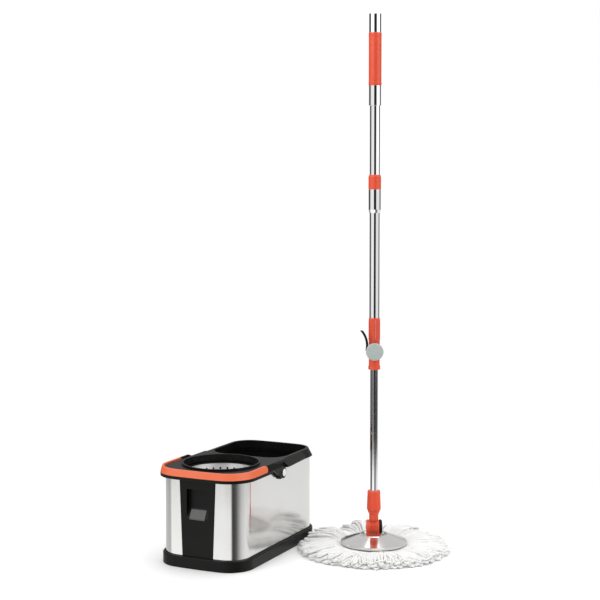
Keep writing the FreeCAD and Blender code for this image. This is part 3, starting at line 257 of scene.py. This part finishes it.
def strand_cloth():
    """White microfibre: pile that scatters light, each strand a little different, with painted shade in the
    tuft hollows and a faint painted glow.
    """
    material, tree, bsdf = new_material("microfibre_pile")
    place = add(tree, "TexCoord").outputs["Object"]
    tufts = add(tree, "TexNoise", {"Vector": place, "Scale": 620.0, "Detail": 5.0, "Roughness": 0.7})
    soil = add(tree, "TexNoise", {"Vector": place, "Scale": 26.0, "Detail": 4.0})
    each = add(tree, "NewGeometry").outputs["Random Per Island"]
    light = mix_colour(tree, each, (0.83, 0.83, 0.82, 1.0), (0.77, 0.77, 0.76, 1.0))
    greyed = add(tree, "MapRange", {"Value": soil.outputs["Fac"], "From Min": 0.35, "From Max": 0.75,
                                    "To Max": 0.2}).outputs[0]
    patchy = mix_colour(tree, greyed, light, (0.70, 0.70, 0.69, 1.0))
    # Painted shade: the low points of the tuft bump are darkened towards grey.
    painted_pit_shade = add(tree, "MapRange", {"Value": tufts.outputs["Fac"], "From Min": 0.3, "From Max": 0.5,
                                  "To Min": 0.15, "To Max": 0.0}).outputs[0]
    tree.links.new(mix_colour(tree, painted_pit_shade, patchy, (0.62, 0.62, 0.61, 1.0)), bsdf["Base Color"])
    bump = add(tree, "Bump", {"Strength": 0.35, "Distance": 0.0006, "Height": tufts.outputs["Fac"]})
    tree.links.new(bump.outputs[0], bsdf["Normal"])
    bsdf["Roughness"].default_value = 0.95
    bsdf["Subsurface Weight"].default_value = 0.2
    bsdf["Subsurface Radius"].default_value = (0.004, 0.004, 0.004)
    bsdf["Subsurface Scale"].default_value = 1.0
    # Painted glow: a faint emission lifts the pile's shading; the cloth gives no light of its own.
    bsdf["Emission Color"].default_value = (1.0, 1.0, 0.99, 1.0)
    bsdf["Emission Strength"].default_value = 0.05
    bsdf["Sheen Weight"].default_value = 0.35
    bsdf["Sheen Roughness"].default_value = 0.5
    return material


BRUSHED_ROUND = (7.0, 7.0, 1100.0)
DRAWN_LENGTHWISE = (1400.0, 1400.0, 5.0)
EVEN_LINES = (500.0, 500.0, 500.0)

FINISHES = {
    "black_plastic": plastic("black_moulding", (0.0035, 0.0036, 0.0032), (0.0055, 0.0056, 0.0050),
                             (0.03, 0.03, 0.028), 0.40, dust=0.015, shine=0.16),
    "orange_plastic": plastic("orange_moulding", (0.78, 0.078, 0.026), (0.72, 0.066, 0.022),
                              (0.84, 0.15, 0.08), 0.36, grain=0.000004, coat=0.1),
    "amber_plastic": plastic("bail_grip_moulding", (0.84, 0.165, 0.062), (0.79, 0.145, 0.052),
                             (0.87, 0.25, 0.13), 0.36, grain=0.000004, coat=0.1),
    "grey_badge": plastic("badge_plate_grey", (0.062, 0.062, 0.060), (0.072, 0.072, 0.069),
                          (0.2, 0.2, 0.2), 0.34),
    "grey_cap": plastic("cap_silver_grey", (0.44, 0.49, 0.47), (0.42, 0.465, 0.445), (0.56, 0.52, 0.52),
                        0.34, grain=0.000003, edge=0.0005, coat=0.15),
    "white_plastic": plastic("natural_moulding", (0.78, 0.77, 0.73), (0.70, 0.69, 0.65),
                             (0.85, 0.85, 0.82), 0.45),
    "steel_sheet": metal("wrapped_steel", (0.74, 0.735, 0.72), (0.69, 0.685, 0.67), 0.14, BRUSHED_ROUND,
                         0.00003),
    "basket_steel": metal("pressed_bowl_steel", (0.93, 0.93, 0.92), (0.88, 0.88, 0.87), 0.38, EVEN_LINES),
    "dish_steel": metal("dish_steel_polished", (0.68, 0.67, 0.655), (0.63, 0.62, 0.605), 0.13, EVEN_LINES,
                        0.00001),
    "chrome_tube": metal("chromed_tube", (0.80, 0.80, 0.81), (0.76, 0.76, 0.77), 0.07, EVEN_LINES, 0.000002,
                         spread=0.04),
    "silver_cap": metal("polished_cap", (0.84, 0.84, 0.85), (0.78, 0.78, 0.79), 0.10, EVEN_LINES),
    "pin_steel": metal("turned_pin_steel", (0.60, 0.60, 0.61), (0.50, 0.50, 0.51), 0.26, EVEN_LINES),
    "rod_steel": metal("twisted_rod_steel", (0.56, 0.56, 0.57), (0.46, 0.46, 0.47), 0.28, DRAWN_LENGTHWISE),
    "microfibre": strand_cloth(),
}


def finish_cad_nodes():
    for part in frame["record"]["subparts"]:
        piece = NODES[part["node"]]
        for place in piece.material_slots:
            place.material = FINISHES[part["material_slot"]]


finish_cad_nodes()

# ---------------------------------------------------------------- microfibre strands

STRAND_RADIUS = 0.0025
LAYERS = (
    # strands leave the plate at rise, stay at crest, and end at fall, somewhere in this span of the reach
    {"count": 170, "rise": 0.0035, "crest": 0.0035, "reach": (0.98, 1.06), "fall": 0.0030},
    {"count": 180, "rise": 0.0065, "crest": 0.0085, "reach": (0.95, 1.06), "fall": 0.0070},
    {"count": 190, "rise": 0.0090, "crest": 0.0135, "reach": (0.91, 1.05), "fall": 0.0110},
    {"count": 200, "rise": 0.0110, "crest": 0.0180, "reach": (0.82, 1.03), "fall": 0.0140},
)
STRAND_ROOT = 0.045
PLATE_EDGE = 0.082
CREST_AT = 0.104
FALL_FROM = 0.138
BACK_WAY = VIEW_AZIMUTH + math.pi / 2
BACK_LIFT = 0.010
BUCKET_CLEAR = TRAY_HIGH.x + 0.0012
# radius and height of the bed's outline, out over the top and back along the floor
BED_PROFILE = ((0.078, 0.0085), (0.092, 0.0150), (0.106, 0.0165), (0.138, 0.0160), (0.154, 0.0125),
               (0.166, 0.0070), (0.170, 0.0025), (0.166, 0.0006), (0.050, 0.0006))
BED_SIDES = 96
SAME_RING = 0.0005


def ease(share):
    share = min(max(share, 0.0), 1.0)
    return share * share * (3 - 2 * share)


def strand_height(layer, radius, end, lift):
    """Height of a strand's middle at a distance from the pole."""
    if radius < PLATE_EDGE:
        return STRAND_RADIUS + (layer["rise"] - STRAND_RADIUS) * ease((radius - STRAND_ROOT) / 0.03)
    crest = layer["crest"] + lift
    if radius < CREST_AT:
        share = ease((radius - PLATE_EDGE) / (CREST_AT - PLATE_EDGE))
        return layer["rise"] + (crest - layer["rise"]) * share
    share = ease((radius - FALL_FROM) / max(end - FALL_FROM, 0.01))
    return crest + (layer["fall"] + lift * 0.7 - crest) * share


def loop_points(layer, angle, draw, clump):
    """A looped strand's points: out from the plate, round a loose bight, and back beside itself."""
    end = FIBRE_REACH * draw.uniform(*layer["reach"]) - 0.004
    back = max(0.0, math.cos(angle - BACK_WAY))
    share = layer["crest"] / LAYERS[-1]["crest"]
    lift = share * (clump * 0.003 + back * BACK_LIFT * (0.6 + clump)) + draw.uniform(-0.0008, 0.0015)
    gap = draw.uniform(0.0028, 0.0040)
    swirl = draw.uniform(-0.09, 0.09)
    wave = draw.uniform(0.001, 0.004)
    beats = draw.uniform(1.2, 2.6)
    phase = draw.uniform(0, 2 * math.pi)
    stations = (0.045, 0.078, 0.092, 0.108, 0.128, 0.148)
    radii = [r for r in stations if r < end - 0.010] + [end - 0.003]
    legs = []
    for side in (-1, 1):
        leg = []
        for radius in radii:
            share = (radius - STRAND_ROOT) / (end - STRAND_ROOT)
            bend = angle + swirl * share * share
            across = side * gap * min(1.0, 0.5 + share)
            across += wave * share * math.sin(beats * math.pi * share + phase)
            across += side * draw.uniform(-0.0010, 0.0014) * share
            high = strand_height(layer, radius, end, lift) + draw.uniform(-0.0012, 0.0012) * share
            leg.append((radius, across, bend, max(high, STRAND_RADIUS)))
        legs.append(leg)
    tip_high = max(strand_height(layer, end, end, lift) + draw.uniform(-0.002, 0.002), STRAND_RADIUS)
    tip = [(end + 0.0020, wave * math.sin(beats * math.pi + phase), angle + swirl, tip_high)]
    placed = []
    for radius, across, bend, high in legs[0] + tip + legs[1][::-1]:
        x = MOP_X + radius * math.cos(bend) - across * math.sin(bend)
        y = MOP_Y + radius * math.sin(bend) + across * math.cos(bend)
        placed.append((max(x, BUCKET_CLEAR + STRAND_RADIUS), y, high))
    return placed


def make_strands():
    draw = random.Random(41)
    waves = [(draw.randint(2, 9), draw.uniform(0, 2 * math.pi), draw.uniform(0.3, 1.0)) for _ in range(5)]
    data = bpy.data.curves.new("mop_strands", "CURVE")
    data.dimensions = "3D"
    data.resolution_u = 1
    data.bevel_depth = STRAND_RADIUS
    data.bevel_resolution = 0
    data.use_fill_caps = True
    for layer in LAYERS:
        start = draw.uniform(0, 1)
        for index in range(layer["count"]):
            angle = 2 * math.pi * (index + start + draw.uniform(-0.30, 0.30)) / layer["count"]
            clump = sum(size * math.sin(count * angle + turn) for count, turn, size in waves) / 2
            route = loop_points(layer, angle, draw, clump)
            spline = data.splines.new("POLY")
            spline.points.add(len(route) - 1)
            for point, spot in zip(spline.points, route):
                point.co = (*spot, 1.0)
                point.radius = draw.uniform(0.84, 1.14)
    piece = bpy.data.objects.new("mop_strands", data)
    SCENE.collection.objects.link(piece)
    bpy.ops.object.select_all(action="DESELECT")
    piece.select_set(True)
    bpy.context.view_layer.objects.active = piece
    bpy.ops.object.convert(target="MESH")
    piece = bpy.context.view_layer.objects.active
    piece.name = "mop_strands"
    bpy.ops.object.shade_smooth()
    piece.data.materials.clear()
    piece.data.materials.append(FINISHES["microfibre"])
    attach(piece, "refill")
    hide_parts("microfibre")


def make_strand_bed():
    """The tangle of short pile under the loops: a low mound that closes the gaps between them."""
    bpy.ops.object.select_all(action="DESELECT")
    bpy.ops.mesh.primitive_circle_add(vertices=BED_SIDES, radius=STRAND_ROOT,
                                      location=(MOP_X, MOP_Y, STRAND_RADIUS))
    bed = bpy.context.object
    bed.name = "strand_bed"
    bpy.ops.object.transform_apply(location=True)
    bpy.ops.object.mode_set(mode="EDIT")
    radius, height = STRAND_ROOT, STRAND_RADIUS
    for next_radius, next_height in BED_PROFILE:
        bpy.ops.mesh.select_all(action="DESELECT")
        bpy.ops.object.mode_set(mode="OBJECT")
        for vertex in bed.data.vertices:
            away = math.hypot(vertex.co.x - MOP_X, vertex.co.y - MOP_Y)
            vertex.select = abs(away - radius) < SAME_RING and abs(vertex.co.z - height) < SAME_RING
        for edge in bed.data.edges:
            edge.select = all(bed.data.vertices[end].select for end in edge.vertices)
        bpy.ops.object.mode_set(mode="EDIT")
        bpy.ops.mesh.extrude_edges_move(TRANSFORM_OT_translate={"value": (0, 0, next_height - height)})
        grow = next_radius / radius
        bpy.ops.transform.resize(value=(grow, grow, 1.0), center_override=(MOP_X, MOP_Y, 0.0))
        radius, height = next_radius, next_height
    bpy.ops.mesh.select_mode(type="EDGE")
    bpy.ops.mesh.select_all(action="DESELECT")
    bpy.ops.mesh.select_non_manifold(extend=False, use_wire=False, use_boundary=True,
                                     use_multi_face=False, use_non_contiguous=False, use_verts=False)
    bpy.ops.mesh.bridge_edge_loops()
    bpy.ops.mesh.select_mode(type="VERT")
    bpy.ops.mesh.select_all(action="SELECT")
    bpy.ops.mesh.normals_make_consistent(inside=False)
    bpy.ops.object.mode_set(mode="OBJECT")
    bpy.ops.object.shade_smooth()
    bed.data.materials.append(FINISHES["microfibre"])
    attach(bed, "refill")


make_strands()
make_strand_bed()

# ---------------------------------------------------------------- studio

FLOOR_REACH = 1.15
FLOOR_FADE = 0.45
FLOOR_SPOT = (0.10, 0.06, -0.0004)
LAMP_AIM = Vector((0.12, 0.03, 0.35))
TENT_ROOF = (0.80, 0.80, 0.80, 1.0)


def make_floor():
    bpy.ops.object.select_all(action="DESELECT")
    bpy.ops.mesh.primitive_circle_add(vertices=96, radius=FLOOR_REACH, fill_type="NGON",
                                      location=FLOOR_SPOT)
    floor = bpy.context.object
    floor.name = "studio_floor"
    material, tree, bsdf = new_material("pale_floor")
    place = add(tree, "TexCoord").outputs["Object"]
    away = add(tree, "VectorMath", {0: place}, operation="LENGTH").outputs["Value"]
    fade = add(tree, "MapRange", {"Value": away, "From Min": FLOOR_REACH - FLOOR_FADE,
                                  "From Max": FLOOR_REACH - 0.02, "To Min": 1.0, "To Max": 0.0}).outputs[0]
    tree.links.new(fade, bsdf["Alpha"])
    bsdf["Base Color"].default_value = (0.97, 0.97, 0.968, 1.0)
    bsdf["Roughness"].default_value = 0.7
    bsdf["Specular IOR Level"].default_value = 0.2
    floor.data.materials.append(material)
    floor.visible_glossy = False


def lamp(name, turn, rise, distance, size, power):
    """A square soft light, placed by its turn from the viewpoint and its height."""
    data = bpy.data.lights.new(name, "AREA")
    data.energy = power
    data.size = size
    light = bpy.data.objects.new(name, data)
    azimuth = VIEW_AZIMUTH + turn
    way = Vector((math.sin(azimuth) * math.cos(rise), -math.cos(azimuth) * math.cos(rise), math.sin(rise)))
    light.location = LAMP_AIM + way * distance
    light.rotation_euler = way.to_track_quat("Z", "Y").to_euler()
    SCENE.collection.objects.link(light)


# brightness of the tent by turn from the viewpoint in degrees, positive to the right
LEVEL_BANDS = ((-180, 0.08), (-102, 0.08), (-86, 0.95), (-26, 1.10), (-16, 0.02), (22, 0.02), (30, 0.95),
               (92, 0.95), (104, 0.08), (128, 0.08), (150, 0.60), (180, 0.60))
MIDDLE_BANDS = ((-180, 0.15), (-66, 0.12), (-50, 0.16), (-34, 0.30), (-22, 0.20), (-12, 0.04), (20, 0.02),
                (34, 0.06), (90, 0.07), (112, 0.12), (126, 0.90), (180, 0.90))
LOW_BANDS = ((-180, 0.80), (-100, 0.60), (-90, 1.25), (6, 1.25), (13, 0.04), (34, 0.12), (60, 0.80),
             (84, 1.05), (118, 0.98), (180, 0.95))
# upward part of a direction where a set of bands starts to take over, and where it has done so
MIDDLE_FROM, MIDDLE_FULL = -0.120, -0.128
LOW_FROM, LOW_FULL = -0.19, -0.21
ROOF_FROM, ROOF_FULL = 0.16, 0.34


def add_ramp(tree, share, bands):
    """A colour ramp from (degrees, brightness) pairs that span a full turn."""
    ramp = add(tree, "ValToRGB", {"Fac": share})
    elements = ramp.color_ramp.elements
    while len(elements) < len(bands):
        elements.new(0.5)
    for element, (degrees, brightness) in zip(elements, bands):
        element.position = (degrees + 180) / 360
        element.color = (brightness, brightness, brightness, 1.0)
    return ramp.outputs["Color"]


def make_world():
    """A white tent with dark gaps, which draw the streaks on tubes and steel."""
    world = bpy.data.worlds.new("studio_tent")
    SCENE.world = world
    world.use_nodes = True
    tree = world.node_tree
    tree.nodes.clear()
    way = add(tree, "TexCoord").outputs["Generated"]
    right = (math.cos(VIEW_AZIMUTH), math.sin(VIEW_AZIMUTH), 0.0)
    front = (math.sin(VIEW_AZIMUTH), -math.cos(VIEW_AZIMUTH), 0.0)
    along = add(tree, "VectorMath", {0: way, 1: right}, operation="DOT_PRODUCT").outputs["Value"]
    toward = add(tree, "VectorMath", {0: way, 1: front}, operation="DOT_PRODUCT").outputs["Value"]
    turn = math_node(tree, "ARCTAN2", along, toward)
    share = add(tree, "MapRange", {"Value": turn, "From Min": -math.pi, "From Max": math.pi}).outputs[0]
    high = add(tree, "SeparateXYZ", {0: way}).outputs["Z"]
    tent = add_ramp(tree, share, LEVEL_BANDS)
    for start, full, bands in ((MIDDLE_FROM, MIDDLE_FULL, MIDDLE_BANDS), (LOW_FROM, LOW_FULL, LOW_BANDS)):
        past = add(tree, "MapRange", {"Value": high, "From Min": start, "From Max": full}).outputs[0]
        tent = mix_colour(tree, past, tent, add_ramp(tree, share, bands))
    roof = add(tree, "MapRange", {"Value": high, "From Min": ROOF_FROM, "From Max": ROOF_FULL}).outputs[0]
    tent = mix_colour(tree, roof, tent, TENT_ROOF)
    seen = add(tree, "LightPath").outputs["Is Camera Ray"]
    shown = mix_colour(tree, seen, tent, (1.0, 1.0, 1.0, 1.0))
    light = add(tree, "Background", {"Color": shown, "Strength": 1.0})
    out = tree.nodes.new("ShaderNodeOutputWorld")
    tree.links.new(light.outputs[0], out.inputs["Surface"])


make_floor()
make_world()
lamp("key_light", math.radians(-52), math.radians(42), 2.6, 2.0, 22.0)
lamp("fill_light", math.radians(66), math.radians(30), 2.8, 2.0, 16.0)
lamp("top_light", math.radians(150), math.radians(72), 2.4, 1.8, 22.0)
